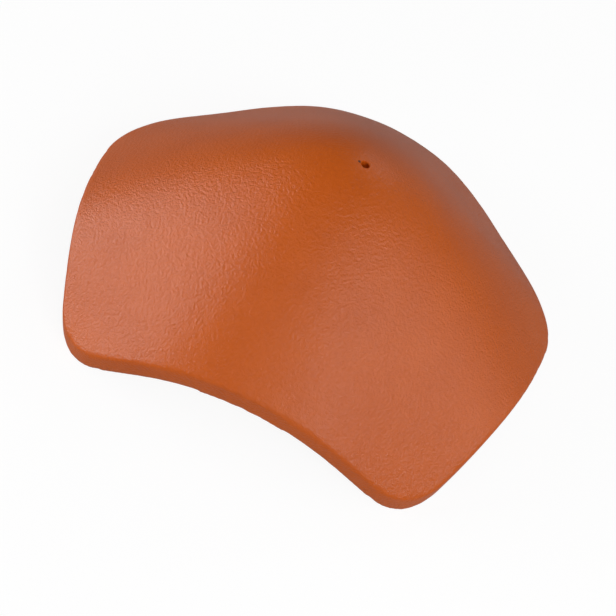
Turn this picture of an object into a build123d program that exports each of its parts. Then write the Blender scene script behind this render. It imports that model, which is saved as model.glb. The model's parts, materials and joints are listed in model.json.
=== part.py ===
from build123d import *
import math
import os

# Three-way ridge tile: one moulded shell of even thickness, open below, that covers the point
# where three ridge lines meet. Two arms point left and right, a little to the front, and one
# points straight back. Their rounded ridges cross at a shared crown, and each runs on through it
# and down the far side, so that the surface between the arms is convex as well. A single nail
# hole goes through the crown, a little to one side of its middle.
# Millimetres. +Z is up, -Y is the front, and the origin is on the floor under the middle of the
# tile's footprint.

# The ridges: their slopes out from the crown, and the slope beyond it, down the far side
crown_height = 179.5
crown_round = 49.0
side_ridge_angle = 72.4
side_slope = 0.64
back_slope = 0.75
far_slope = 0.72
# The flanks, which fall away from each ridge to both sides, and the blend between the ridges
ridge_round = 49.7
flank_slope = 0.75
blend_height = 19.6
# The footprint
side_angle = 72.2
side_reach = 201.0
side_width = 231.0
side_bulge = 11.3
back_reach = 180.5
back_width = 255.5
back_bulge = 18.0
front_bulge = 2.1
flank_bulge = 4.3
corner_radius = 60.0
# The shell, which the floor cuts flat where its corners would reach below it
wall = 17.0
rim_round = 4.0
# The nail hole
hole_diameter = 7.0
hole_from_middle = 7.5
hole_from_crown = 0.3
# Spacing of the points that carry the curved surfaces, and how far those reach past the footprint
point_spacing = 15.0
surface_margin = 30.0


def soft_abs(distance, radius):
    """Distance from a line, rounded off over the line itself by the radius."""
    return math.hypot(distance, radius) - radius


def ridge_height(x, y, angle, slope):
    """Height of one ridge alone, which runs out from the crown at an angle from the front."""
    along = x * math.sin(angle) - y * math.cos(angle)
    across = x * math.cos(angle) + y * math.sin(angle)
    fall = (slope + far_slope) / 2 * soft_abs(along, crown_round)
    lean = (slope - far_slope) / 2 * along
    return crown_height - fall - lean - flank_slope * soft_abs(across, ridge_round)


def outer_height(x, y):
    """Height of the outer surface: the highest ridge, blended smoothly into the other two."""
    side = math.radians(side_ridge_angle)
    ridges = [(side, side_slope), (-side, side_slope), (math.pi, back_slope)]
    heights = [ridge_height(x, y, angle, slope) for angle, slope in ridges]
    highest = max(heights)
    blend = sum(math.exp((height - highest) / blend_height) for height in heights)
    return highest + blend_height * math.log(blend / len(heights))


def inner_height(x, y):
    """Height of the hollow, one wall thickness inside the outer surface, square to it."""
    step = 1.0
    slope_x = (outer_height(x + step, y) - outer_height(x - step, y)) / (2 * step)
    slope_y = (outer_height(x, y + step) - outer_height(x, y - step)) / (2 * step)
    return outer_height(x, y) - wall * math.sqrt(1 + slope_x**2 + slope_y**2)


def arm_end(angle, reach, width):
    """The two corners of an arm's end, the right-hand one first, seen from the crown."""
    outward = Vector(math.sin(angle), -math.cos(angle))
    sideways = Vector(math.cos(angle), math.sin(angle))
    middle = outward * reach
    return middle - sideways * (width / 2), middle + sideways * (width / 2)


def bowed(start, end, bow):
    """An arc from start to end, its middle moved out of the tile by the bow."""
    run = end - start
    outward = Vector(run.Y, -run.X).normalized()
    return ThreePointArc(start, (start + end) * 0.5 + outward * bow, end)


def footprint():
    """The tile's plan: the bulging ends of the arms and the eaves between them."""
    side = math.radians(side_angle)
    right = arm_end(side, side_reach, side_width)
    back = arm_end(math.pi, back_reach, back_width)
    left = arm_end(-side, side_reach, side_width)
    with BuildSketch() as plan:
        with BuildLine():
            bowed(right[0], right[1], side_bulge)
            bowed(right[1], back[0], flank_bulge)
            bowed(back[0], back[1], back_bulge)
            bowed(back[1], left[0], flank_bulge)
            bowed(left[0], left[1], side_bulge)
            bowed(left[1], right[0], front_bulge)
        make_face()
        fillet(plan.vertices(), radius=corner_radius)
    return plan.sketch


def space_below(height, plan_box):
    """Everything below a curved surface, down past the floor."""
    low_x = plan_box.min.X - surface_margin
    low_y = plan_box.min.Y - surface_margin
    size_x = plan_box.size.X + 2 * surface_margin
    size_y = plan_box.size.Y + 2 * surface_margin
    steps_x = math.ceil(size_x / point_spacing)
    steps_y = math.ceil(size_y / point_spacing)
    rows = []
    for j in range(steps_y + 1):
        y = low_y + size_y * j / steps_y
        row = []
        for i in range(steps_x + 1):
            x = low_x + size_x * i / steps_x
            row.append((x, y, height(x, y)))
        rows.append(row)
    surface = Face.make_surface_from_array_of_points(rows, tol=0.1, min_deg=3, max_deg=5)
    return extrude(surface, amount=4 * crown_height, dir=(0, 0, -1))


def ridge_tile():
    plan = footprint()
    plan_box = plan.bounding_box()
    column = Pos(0, 0, -crown_height) * extrude(plan, amount=3 * crown_height)
    block = column & space_below(outer_height, plan_box)
    skin = block.faces().sort_by(Axis.Z)[-1]
    block = fillet(skin.edges(), radius=rim_round)
    shell = block - space_below(inner_height, plan_box)
    bore = Cylinder(radius=hole_diameter / 2, height=2 * crown_height)
    tile = shell - Pos(hole_from_middle, hole_from_crown, crown_height) * bore
    above_floor = Box(
        2 * plan_box.size.X,
        2 * plan_box.size.Y,
        2 * crown_height,
        align=(Align.CENTER, Align.CENTER, Align.MIN),
    )
    tile &= above_floor
    middle = tile.bounding_box().center()
    return Pos(-middle.X, -middle.Y, 0) * tile


os.makedirs("parts", exist_ok=True)
export_step(ridge_tile(), "parts/ridge_tile.step")
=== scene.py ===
"""A three-way ridge tile in terracotta-coloured concrete, in a plain studio."""

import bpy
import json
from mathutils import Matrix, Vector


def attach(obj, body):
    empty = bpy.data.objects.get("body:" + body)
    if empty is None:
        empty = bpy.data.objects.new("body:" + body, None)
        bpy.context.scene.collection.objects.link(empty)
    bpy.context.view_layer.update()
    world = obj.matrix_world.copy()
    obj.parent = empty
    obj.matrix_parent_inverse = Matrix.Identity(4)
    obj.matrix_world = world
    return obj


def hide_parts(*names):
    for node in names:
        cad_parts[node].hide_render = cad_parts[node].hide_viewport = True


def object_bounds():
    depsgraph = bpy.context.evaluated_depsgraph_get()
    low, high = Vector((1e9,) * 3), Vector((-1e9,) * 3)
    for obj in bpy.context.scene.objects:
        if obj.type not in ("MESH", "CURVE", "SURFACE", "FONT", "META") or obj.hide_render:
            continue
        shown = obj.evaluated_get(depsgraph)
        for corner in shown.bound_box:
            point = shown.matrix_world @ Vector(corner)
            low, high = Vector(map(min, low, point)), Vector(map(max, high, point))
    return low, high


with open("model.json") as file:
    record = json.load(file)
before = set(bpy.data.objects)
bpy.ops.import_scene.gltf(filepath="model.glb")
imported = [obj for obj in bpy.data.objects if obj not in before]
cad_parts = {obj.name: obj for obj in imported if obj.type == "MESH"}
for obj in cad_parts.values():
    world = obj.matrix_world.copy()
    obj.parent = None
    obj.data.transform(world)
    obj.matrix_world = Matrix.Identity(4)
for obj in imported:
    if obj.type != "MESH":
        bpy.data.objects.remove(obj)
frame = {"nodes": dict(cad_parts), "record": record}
cad_box = [list(corner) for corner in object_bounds()]

import json
import math

import bmesh
import bpy
from bpy.props import FloatProperty, FloatVectorProperty, IntProperty, PointerProperty
from mathutils import Matrix, Vector, noise

bl_info = {
    "name": "Ridge Tile",
    "version": (1, 0, 0),
    "blender": (4, 5, 0),
    "location": "View3D > Sidebar > Ridge Tile",
    "description": "Makes a moulded three-way ridge tile in coloured concrete and a studio for it",
    "category": "Add Mesh",
}

TILE_NODE = "ridge_tile"
NAIL_HOLE = next(m for m in frame["record"]["mounts"] if m["name"] == "nail_hole")
HOLE_RADIUS = NAIL_HOLE["dims"]["r_mm"] / 1000
HOLE_LENGTH = NAIL_HOLE["dims"]["length_mm"] / 1000
CROWN = Vector(NAIL_HOLE["pos_m"])
TILE_MIDDLE = (Vector(cad_box[0]) + Vector(cad_box[1])) / 2
SOFTBOXES = ("left", "right", "spot", "side", "top", "front", "back")

# The nail hole: how many of its radii out a corner still belongs to its wall, how many sides the pin
# that cuts it has, how the broken mouth wanders round the hole and down it, and its least share
HOLE_WALL_REACH = 1.02
PIN_SIDES = 40
MOUTH_WAVES_ROUND = 1.7
MOUTH_WAVES_DOWN = 300
MOUTH_LEAST_CHIP = 0.35

# The coat: where its tone turns from deep to plain, how much of the relief is the finest sand, how
# much coarser the sand is than the grain, and how wide the soft edge of a very dark place is (the nail
# hole's bare wall with its painted shade, and the dark patch beside it)
TONE_STOPS = [(0.35, 0.0), (0.65, 1.0)]
FINE_SAND_SHARE = 0.25
SAND_TO_GRAIN = 1.5
DARK_PLACE_EDGE_WIDTH = 0.0004

# The paper: how strongly it glows to the camera, and how much of what the camera sees is the glow
PAPER_GLOW = 1.25
PAPER_GLOW_SHARE = 0.72
WHITE = (1.0, 1.0, 1.0)

# The colour sockets of a Mix node, whose names its other sockets share
MIX_FIRST_COLOUR = 6
MIX_SECOND_COLOUR = 7
MIX_COLOUR_OUT = 2


# Settings


class TileBodySettings(bpy.types.PropertyGroup):
    """Sizes of the tile's cast surface"""

    face_size: FloatProperty(
        name="Face size", description="Width of the small faces that the shape is worked in",
        default=0.0011, min=0.0009, max=0.01, unit="LENGTH", precision=4,
    )
    kept_share: FloatProperty(
        name="Kept faces", description="Share of the small faces that is kept at the end",
        default=0.185, min=0.01, max=1.0, subtype="FACTOR",
    )
    smoothing_passes: IntProperty(
        name="Smoothing", description="Passes that soften the faces into each other and round the edges",
        default=8, min=0, max=30,
    )
    arris_angle: FloatProperty(
        name="Arris angle", description="Edges that turn by more than this are sharp, and are worn round",
        default=math.radians(18), min=0.1, max=math.pi, subtype="ANGLE",
    )
    arris_rings: IntProperty(
        name="Arris width", description="Rings of faces beside a sharp edge that are worn with it",
        default=4, min=0, max=8,
    )
    arris_passes: IntProperty(
        name="Arris wear", description="Passes that wear the sharp edges round",
        default=22, min=0, max=60,
    )
    foot_height: FloatProperty(
        name="Foot height", description="Height over which the worn feet are drawn back to the floor",
        default=0.006, min=0.001, max=0.03, unit="LENGTH", precision=4,
    )
    swell_depth: FloatProperty(
        name="Swell depth", description="Depth of the broad hollows that the mould leaves",
        default=0.0006, min=0.0, max=0.003, unit="LENGTH", precision=5,
    )
    swell_width: FloatProperty(
        name="Swell width", description="Width of the broad hollows",
        default=0.06, min=0.01, max=0.2, unit="LENGTH",
    )
    dimple_depth: FloatProperty(
        name="Dimple depth", description="Depth of the small dimples of the cast skin",
        default=0.00008, min=0.0, max=0.001, unit="LENGTH", precision=5,
    )
    dimple_width: FloatProperty(
        name="Dimple width", description="Width of the small dimples",
        default=0.009, min=0.004, max=0.05, unit="LENGTH", precision=4,
    )
    mouth_chip: FloatProperty(
        name="Nail hole chipping", description="How far the nail hole's mouth has broken away",
        default=0.0008, min=0.0, max=0.003, unit="LENGTH", precision=5,
    )
    mouth_depth: FloatProperty(
        name="Nail hole mouth depth", description="How deep the nail hole's mouth has broken away",
        default=0.003, min=0.0005, max=0.01, unit="LENGTH", precision=4,
    )
    pin_rings: IntProperty(
        name="Nail hole rings", description="Rings of faces along the nail hole",
        default=35, min=5, max=80,
    )


class ConcreteSettings(bpy.types.PropertyGroup):
    """Colours and grain of the coated concrete"""

    body_colour: FloatVectorProperty(
        name="Body colour", description="Colour of the coated concrete", subtype="COLOR",
        size=3, min=0.0, max=1.0, default=(0.72, 0.128, 0.0050),
    )
    deep_colour: FloatVectorProperty(
        name="Deep colour", description="Colour where the coat lies thicker", subtype="COLOR",
        size=3, min=0.0, max=1.0, default=(0.66, 0.112, 0.003),
    )
    # Partly the raw concrete of the uncoated nail hole, partly painted shade: it is so dark that it stands
    # in for the shade inside the hole. The small dark patch beside the hole takes it too
    bare_colour: FloatVectorProperty(
        name="Bare colour", description="Colour of the raw concrete inside the nail hole", subtype="COLOR",
        size=3, min=0.0, max=1.0, default=(0.075, 0.016, 0.005),
    )
    # A small very dark patch beside the nail hole, in the same colour as the hole's painted shade
    chip_place: FloatVectorProperty(
        name="Chip place", description="Middle of the small chip in the coat, from the nail hole",
        subtype="TRANSLATION", size=2, default=(-0.0053, -0.0005),
    )
    chip_size: FloatProperty(
        name="Chip size", description="Radius of the small chip in the coat",
        default=0.0013, min=0.0, max=0.01, unit="LENGTH", precision=4,
    )
    ragged_edge: FloatProperty(
        name="Ragged edge", description="How far the edges of the bare places wander",
        default=0.0016, min=0.0, max=0.01, unit="LENGTH", precision=4,
    )
    sand_share: FloatProperty(
        name="Sand share", description="How much of the colour's change comes from the sand grains",
        default=0.35, min=0.0, max=1.0, subtype="FACTOR",
    )
    patch_size: FloatProperty(
        name="Patch size", description="Size of the soft colour patches",
        default=0.06, min=0.005, max=0.5, unit="LENGTH",
    )
    grain_size: FloatProperty(
        name="Grain size", description="Size of the sand grains that show through the coat",
        default=0.0024, min=0.0005, max=0.02, unit="LENGTH", precision=4,
    )
    grain_height: FloatProperty(
        name="Grain height", description="Height of the sand grains",
        default=0.00095, min=0.0, max=0.003, unit="LENGTH", precision=5,
    )
    roughness: FloatProperty(
        name="Roughness", description="Roughness of the satin coat",
        default=0.32, min=0.0, max=1.0, subtype="FACTOR",
    )


class StudioSettings(bpy.types.PropertyGroup):
    """Floor, lights and camera of the studio"""

    floor_size: FloatProperty(
        name="Floor size", description="Width of the pale floor",
        default=12.0, min=1.0, max=50.0, unit="LENGTH",
    )
    floor_colour: FloatVectorProperty(
        name="Floor colour", description="Colour of the pale floor", subtype="COLOR",
        size=3, min=0.0, max=1.0, default=(0.50, 0.50, 0.50),
    )
    surround_strength: FloatProperty(
        name="Surround strength", description="Strength of the white surroundings",
        default=0.13, min=0.0, max=2.0,
    )
    box_distance: FloatProperty(
        name="Softbox distance", description="From the softboxes to the tile",
        default=3.0, min=0.5, max=10.0, unit="LENGTH",
    )
    box_power: FloatVectorProperty(
        name="Softbox power",
        description="Power of the left, right, spot, side, top, front and back softbox, in watts",
        size=len(SOFTBOXES), min=0.0, max=2000.0, default=(51.0, 25.0, 8.0, 11.0, 7.0, 7.0, 7.0),
    )
    box_turn: FloatVectorProperty(
        name="Softbox turn", description="How far each softbox stands round from the front",
        size=len(SOFTBOXES), subtype="EULER", unit="ROTATION",
        default=[math.radians(turn) for turn in (-80.6, 50, 58, 98, -8, 5, 165)],
    )
    box_rise: FloatVectorProperty(
        name="Softbox rise", description="How far up each softbox stands",
        size=len(SOFTBOXES), subtype="EULER", unit="ROTATION",
        default=[math.radians(rise) for rise in (13.3, 38, 33, 24, 54, 12, 32)],
    )
    box_width: FloatVectorProperty(
        name="Softbox width", description="Width of each softbox",
        size=len(SOFTBOXES), min=0.01, max=10.0, default=(2.5, 2.0, 0.6, 1.6, 1.2, 1.6, 1.0), unit="LENGTH",
    )
    box_height: FloatVectorProperty(
        name="Softbox height", description="Height of each softbox",
        size=len(SOFTBOXES), min=0.01, max=10.0, default=(1.3, 1.65, 0.6, 1.2, 1.0, 1.0, 0.9), unit="LENGTH",
    )
    camera_distance: FloatProperty(
        name="Camera distance", description="From the camera to the point it looks at",
        default=0.784, min=0.1, max=5.0, unit="LENGTH",
    )
    camera_height_angle: FloatProperty(
        name="Camera height angle", description="How far the camera looks down",
        default=math.radians(53.41), min=0.0, max=math.radians(90), subtype="ANGLE",
    )
    camera_turn: FloatProperty(
        name="Camera turn", description="How far the camera stands round to the right of the front",
        default=math.radians(3.63), min=-math.pi, max=math.pi, subtype="ANGLE",
    )
    camera_roll: FloatProperty(
        name="Camera roll", description="How far the camera is tipped over to the left",
        default=math.radians(21.99), min=-math.pi, max=math.pi, subtype="ANGLE",
    )
    camera_aim: FloatVectorProperty(
        name="Camera aim",
        description="The point that the camera looks at, from the floor under the nail hole",
        subtype="TRANSLATION", size=3, default=(0.0018, -0.0231, 0.0095),
    )
    camera_lens: FloatProperty(
        name="Camera lens", description="Focal length on a 36 mm wide sensor, in millimetres",
        default=50.15, min=10.0, max=300.0,
    )


# Shader maths


class Value:
    """A socket, or a plain number, that takes part in Python arithmetic by adding Math nodes."""

    def __init__(self, shader, source):
        self.shader = shader
        self.source = source

    def math(self, operation, *others):
        return self.shader.node("ShaderNodeMath", {"operation": operation}, self, *others)

    def __add__(self, other):
        return self.math("ADD", other)

    def __sub__(self, other):
        return self.math("SUBTRACT", other)

    def __rsub__(self, other):
        return Value(self.shader, other).math("SUBTRACT", self)

    def __mul__(self, other):
        return self.math("MULTIPLY", other)

    __radd__ = __add__
    __rmul__ = __mul__


class Shader:
    """The nodes of a material or a world under construction."""

    def __init__(self, owner):
        self.owner = owner
        owner.use_nodes = True
        self.tree = owner.node_tree
        self.tree.nodes.clear()

    def node(self, kind, settings, *values, output=0, numbered=None, **named):
        """Adds a node, sets it, then feeds its sockets in order, by number or by name.

        Returns one of its outputs, or nothing where output is None.
        """
        made = self.tree.nodes.new(kind)
        for key, value in settings.items():
            if key == "stops":
                self.set_stops(made.color_ramp, value)
            else:
                setattr(made, key, value)
        fed = dict(enumerate(values))
        fed.update(numbered or {})
        fed.update({name.replace("_", " "): value for name, value in named.items()})
        for key, value in fed.items():
            self.feed(made.inputs[key], value)
        return None if output is None else Value(self, made.outputs[output])

    def set_stops(self, ramp, stops):
        for index, (position, level) in enumerate(stops):
            stop = ramp.elements[index] if index < 2 else ramp.elements.new(position)
            stop.position = position
            stop.color = (level, level, level, 1)

    def feed(self, socket, value):
        source = value.source if isinstance(value, Value) else value
        if isinstance(source, bpy.types.NodeSocket):
            self.tree.links.new(source, socket)
        elif socket.type == "RGBA" and len(source) == 3:
            socket.default_value = (*source, 1)
        else:
            socket.default_value = source

    def place(self):
        """Object coordinates, in metres."""
        return self.node("ShaderNodeTexCoord", {}, output="Object")

    def speckle(self, place, size, detail=2.0, roughness=0.5):
        """Soft noise from 0 to 1 whose features are about as large as the size, in metres."""
        return self.node(
            "ShaderNodeTexNoise", {}, Vector=place, Scale=1 / size, Detail=detail, Roughness=roughness
        )

    def seen_by_camera(self):
        """1 where the camera looks straight at the surface, and 0 where light bounces to it."""
        return self.node("ShaderNodeLightPath", {}, output="Is Camera Ray")

    # Masks a place for the very dark colour: the nail hole's wall with its painted shade, and the dark patch
    # beside it
    def bare_place(self, place, middle, radius, ragged):
        """From 0 to 1 inside a ragged circle round a vertical line."""
        to_middle = (-middle[0], -middle[1], 0)
        spoke = self.node(
            "ShaderNodeVectorMath", {"operation": "MULTIPLY_ADD"}, place, (1, 1, 0), to_middle
        )
        reach = self.node("ShaderNodeVectorMath", {"operation": "LENGTH"}, spoke, output="Value")
        inside = radius + ragged - reach
        clamped = {"operation": "MULTIPLY", "use_clamp": True}
        return self.node("ShaderNodeMath", clamped, inside, 1 / DARK_PLACE_EDGE_WIDTH)

    def blend(self, factor, first, second):
        """A colour between two others."""
        colours = {MIX_FIRST_COLOUR: first, MIX_SECOND_COLOUR: second}
        return self.node(
            "ShaderNodeMix", {"data_type": "RGBA"}, factor, numbered=colours, output=MIX_COLOUR_OUT
        )

    def finish(self, kind, surface):
        """Joins a surface to an output node, and returns the material or world."""
        self.node(kind, {}, Surface=surface, output=None)
        return self.owner


def coated_concrete(settings):
    """Sand-grained concrete under a satin terracotta coat, with painted shade in the nail hole and a small
    dark patch beside it.
    """
    shader = Shader(bpy.data.materials.new("coated_concrete"))
    place = shader.place()
    patches = shader.speckle(place, settings.patch_size, detail=3.0)
    sand = shader.speckle(place, settings.grain_size * SAND_TO_GRAIN)
    mixed = patches * (1 - settings.sand_share) + sand * settings.sand_share
    tone = shader.node("ShaderNodeValToRGB", {"stops": TONE_STOPS}, mixed)
    coat = shader.blend(tone, settings.deep_colour, settings.body_colour)
    ragged = (sand - 0.5) * settings.ragged_edge
    # Painted shade: the nail hole's bare wall is coloured very dark, to stand in for the shade inside the
    # hole
    shaded_bore = shader.bare_place(place, CROWN, HOLE_RADIUS, ragged)
    # A small very dark patch beside the nail hole, in the same dark colour
    dark_patch_middle = CROWN.xy + Vector(settings.chip_place)
    dark_patch = shader.bare_place(place, dark_patch_middle, settings.chip_size, ragged)
    colour = shader.blend(shaded_bore.math("MAXIMUM", dark_patch), coat, settings.bare_colour)

    grain = shader.speckle(place, settings.grain_size, detail=2.0, roughness=0.6)
    fine = shader.speckle(place, settings.grain_size / 3, detail=1.0)
    relief = grain * (1 - FINE_SAND_SHARE) + fine * FINE_SAND_SHARE
    normal = shader.node(
        "ShaderNodeBump", {}, Strength=1.0, Distance=settings.grain_height, Height=relief
    )
    surface = shader.node(
        "ShaderNodeBsdfPrincipled", {}, Base_Color=colour, Roughness=settings.roughness, Normal=normal
    )
    return shader.finish("ShaderNodeOutputMaterial", surface)


def floor_paper(settings):
    """Pale paper that keeps the tile's shadow and looks white to the camera."""
    shader = Shader(bpy.data.materials.new("floor_paper"))
    paper = shader.node("ShaderNodeBsdfDiffuse", {}, Color=settings.floor_colour)
    glow = shader.node("ShaderNodeEmission", {}, Color=WHITE, Strength=PAPER_GLOW)
    share = shader.seen_by_camera() * PAPER_GLOW_SHARE
    surface = shader.node("ShaderNodeMixShader", {}, share, paper, glow)
    return shader.finish("ShaderNodeOutputMaterial", surface)


def white_surroundings(settings):
    """A world that lights the tile a little and looks white to the camera."""
    shader = Shader(bpy.data.worlds.new("white_surroundings"))
    light = shader.node("ShaderNodeBackground", {}, Color=WHITE, Strength=settings.surround_strength)
    white = shader.node("ShaderNodeBackground", {}, Color=WHITE, Strength=1.0)
    surface = shader.node("ShaderNodeMixShader", {}, shader.seen_by_camera(), light, white)
    return shader.finish("ShaderNodeOutputWorld", surface)


# The tile


def applied(item):
    """The object's mesh with its modifiers applied."""
    bpy.context.view_layer.update()
    depsgraph = bpy.context.evaluated_depsgraph_get()
    return bpy.data.meshes.new_from_object(item.evaluated_get(depsgraph))


def scratch_object(name, mesh):
    """An object for one step of the work, which is removed after it."""
    item = bpy.data.objects.new(name, mesh)
    bpy.context.scene.collection.objects.link(item)
    return item


def close_nail_hole(bm):
    """Takes out the nail hole's wall and closes both its mouths, so that it can be cut cleanly later."""
    reach = HOLE_RADIUS * HOLE_WALL_REACH
    rim = {vert for vert in bm.verts if (vert.co.xy - CROWN.xy).length < reach}
    wall = [face for face in bm.faces if rim.issuperset(face.verts)]
    bmesh.ops.delete(bm, geom=wall, context="FACES")
    bmesh.ops.holes_fill(bm, edges=[edge for edge in bm.edges if edge.is_boundary])


def remade_shell(settings):
    """The modelled shell without its nail hole, remade in small even faces."""
    copy = frame["nodes"][TILE_NODE].data.copy()
    bm = bmesh.new()
    bm.from_mesh(copy)
    bmesh.ops.remove_doubles(bm, verts=bm.verts, dist=1e-6)
    close_nail_hole(bm)
    bm.to_mesh(copy)
    bm.free()
    copy.materials.clear()
    shell = scratch_object("shell", copy)
    remesh = shell.modifiers.new("even_faces", "REMESH")
    remesh.mode = "VOXEL"
    remesh.voxel_size = settings.face_size
    made = applied(shell)
    bpy.data.objects.remove(shell)
    return made


def smoothed(bm, verts, passes):
    """Draws each of the vertices towards the middle of its neighbours."""
    for _ in range(passes):
        bmesh.ops.smooth_vert(
            bm, verts=verts, factor=0.5, use_axis_x=True, use_axis_y=True, use_axis_z=True
        )


def soften(bm, settings):
    """Wears the sharp edges round, then smooths all the faces into each other."""
    band = set()
    for edge in bm.edges:
        if edge.calc_face_angle(0.0) > settings.arris_angle:
            band.update(edge.verts)
    for _ in range(settings.arris_rings):
        band.update([edge.other_vert(vert) for vert in band for edge in vert.link_edges])
    smoothed(bm, list(band), settings.arris_passes)
    smoothed(bm, bm.verts, settings.smoothing_passes)


def wear_in(bm, settings):
    """Sinks the cast surface a little, by broad hollows and small dimples, and never raises it."""
    bm.normal_update()
    for vert in bm.verts:
        swell = noise.noise(vert.co / settings.swell_width) * 0.5 + 0.5
        dimple = noise.noise(vert.co / settings.dimple_width) * 0.5 + 0.5
        vert.co -= vert.normal * (settings.swell_depth * swell + settings.dimple_depth * dimple)


def set_down(bm, settings):
    """Draws the lowest part of the feet back to the floor, off which the smoothing has lifted it."""
    gap = min(vert.co.z for vert in bm.verts)
    for vert in bm.verts:
        height = vert.co.z - gap
        if height < settings.foot_height:
            vert.co.z -= gap * (1 - height / settings.foot_height)


def thinned(mesh, settings):
    """The mesh with its small faces joined where the surface is even."""
    body = scratch_object("fine", mesh)
    thin = body.modifiers.new("thinned", "DECIMATE")
    thin.ratio = settings.kept_share
    made = applied(body)
    bpy.data.objects.remove(body)
    return made


def nail_hole_pin(settings):
    """The shape that the nail hole is cut with: a pin that widens unevenly at the outer mouth."""
    mouth = CROWN.z + HOLE_LENGTH / 2
    bm = bmesh.new()
    bmesh.ops.create_cone(
        bm, cap_ends=True, segments=PIN_SIDES, radius1=HOLE_RADIUS, radius2=HOLE_RADIUS,
        depth=HOLE_LENGTH * 2, matrix=Matrix.Translation(CROWN),
    )
    sides = [edge for edge in bm.edges if abs(edge.verts[0].co.z - edge.verts[1].co.z) > HOLE_LENGTH]
    bmesh.ops.subdivide_edges(bm, edges=sides, cuts=settings.pin_rings, use_grid_fill=True)
    for vert in bm.verts:
        spoke = Vector((*(vert.co.xy - CROWN.xy), 0))
        if spoke.length < HOLE_RADIUS / 2:
            continue
        outward = spoke.normalized()
        near = min(1.0, max(0.0, 1 - (mouth - vert.co.z) / settings.mouth_depth))
        wander = outward * MOUTH_WAVES_ROUND + Vector((0, 0, vert.co.z * MOUTH_WAVES_DOWN))
        uneven = 0.5 + 0.5 * noise.noise(wander)
        vert.co += outward * settings.mouth_chip * near * near * (MOUTH_LEAST_CHIP + uneven)
    mesh = bpy.data.meshes.new("nail_hole_pin")
    bm.to_mesh(mesh)
    bm.free()
    return mesh


def with_nail_hole(mesh, settings):
    """The mesh with the nail hole cut through it."""
    body = scratch_object("blank", mesh)
    pin = scratch_object("pin", nail_hole_pin(settings))
    cut = body.modifiers.new("nail_hole", "BOOLEAN")
    cut.operation = "DIFFERENCE"
    cut.solver = "EXACT"
    cut.object = pin
    made = applied(body)
    bpy.data.objects.remove(body)
    bpy.data.objects.remove(pin)
    return made


class RIDGETILE_OT_body(bpy.types.Operator):
    """Make the tile's cast body"""

    bl_idname = "ridgetile.body"
    bl_label = "Tile body"

    def execute(self, context):
        settings = context.scene.ridge_tile_body
        blank = remade_shell(settings)
        bm = bmesh.new()
        bm.from_mesh(blank)
        soften(bm, settings)
        wear_in(bm, settings)
        set_down(bm, settings)
        bm.to_mesh(blank)
        bm.free()
        mesh = with_nail_hole(thinned(blank, settings), settings)
        mesh.shade_smooth()
        mesh.name = "tile_body"
        body = bpy.data.objects.new("tile_body", mesh)
        context.scene.collection.objects.link(body)
        mesh.materials.append(coated_concrete(context.scene.ridge_tile_concrete))
        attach(body, "root")
        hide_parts(TILE_NODE)
        return {"FINISHED"}


# The studio


def softbox(settings, index, side):
    """The rectangular area light of one side, turned to face the tile."""
    turn = settings.box_turn[index]
    rise = settings.box_rise[index]
    flat = math.cos(rise)
    aside = Vector((math.sin(turn) * flat, -math.cos(turn) * flat, math.sin(rise)))
    light = bpy.data.lights.new(side + "_box", "AREA")
    light.shape = "RECTANGLE"
    light.size = settings.box_width[index]
    light.size_y = settings.box_height[index]
    light.energy = settings.box_power[index]
    lamp = bpy.data.objects.new(side + "_box", light)
    lamp.location = TILE_MIDDLE + aside * settings.box_distance
    lamp.rotation_euler = (-aside).to_track_quat("-Z", "Y").to_euler()
    bpy.context.scene.collection.objects.link(lamp)


def make_camera(context, settings):
    """The camera, in the photograph's place."""
    turn = settings.camera_turn
    down = settings.camera_height_angle
    forward = Vector((
        -math.cos(down) * math.sin(turn), math.cos(down) * math.cos(turn), -math.sin(down)
    ))
    aim = Vector((CROWN.x, CROWN.y, 0)) + Vector(settings.camera_aim)
    data = bpy.data.cameras.new("camera")
    data.lens = settings.camera_lens
    data.sensor_width = 36.0
    camera = bpy.data.objects.new("camera", data)
    level = forward.to_track_quat("-Z", "Y").to_matrix().to_4x4()
    roll = Matrix.Rotation(settings.camera_roll, 4, "Z")
    camera.matrix_world = Matrix.Translation(aim - forward * settings.camera_distance) @ level @ roll
    context.scene.collection.objects.link(camera)
    context.scene.camera = camera


class RIDGETILE_OT_studio(bpy.types.Operator):
    """Make the floor, the lights and the camera"""

    bl_idname = "ridgetile.studio"
    bl_label = "Studio"

    def execute(self, context):
        settings = context.scene.ridge_tile_studio
        bm = bmesh.new()
        bmesh.ops.create_grid(bm, x_segments=1, y_segments=1, size=settings.floor_size / 2)
        mesh = bpy.data.meshes.new("studio_floor")
        bm.to_mesh(mesh)
        bm.free()
        mesh.materials.append(floor_paper(settings))
        floor = bpy.data.objects.new("studio_floor", mesh)
        context.scene.collection.objects.link(floor)

        context.scene.world = white_surroundings(settings)
        for index, side in enumerate(SOFTBOXES):
            softbox(settings, index, side)
        make_camera(context, settings)
        context.scene.view_settings.view_transform = "Standard"
        return {"FINISHED"}


# The add-on


class RIDGETILE_PT_panel(bpy.types.Panel):
    """The ridge tile's tools"""

    bl_idname = "RIDGETILE_PT_panel"
    bl_label = "Ridge Tile"
    bl_space_type = "VIEW_3D"
    bl_region_type = "UI"
    bl_category = "Ridge Tile"

    def draw(self, context):
        for operator in (RIDGETILE_OT_body, RIDGETILE_OT_studio):
            self.layout.operator(operator.bl_idname)


SETTINGS = {
    "ridge_tile_body": TileBodySettings,
    "ridge_tile_concrete": ConcreteSettings,
    "ridge_tile_studio": StudioSettings,
}
CLASSES = (*SETTINGS.values(), RIDGETILE_OT_body, RIDGETILE_OT_studio, RIDGETILE_PT_panel)


def register():
    for made_class in CLASSES:
        bpy.utils.register_class(made_class)
    for name, group in SETTINGS.items():
        setattr(bpy.types.Scene, name, PointerProperty(type=group))


def unregister():
    for name in SETTINGS:
        delattr(bpy.types.Scene, name)
    for made_class in reversed(CLASSES):
        bpy.utils.unregister_class(made_class)


def main():
    register()
    bpy.ops.ridgetile.studio()
    bpy.ops.ridgetile.body()
    bpy.context.view_layer.update()


if __name__ == "__main__":
    main()
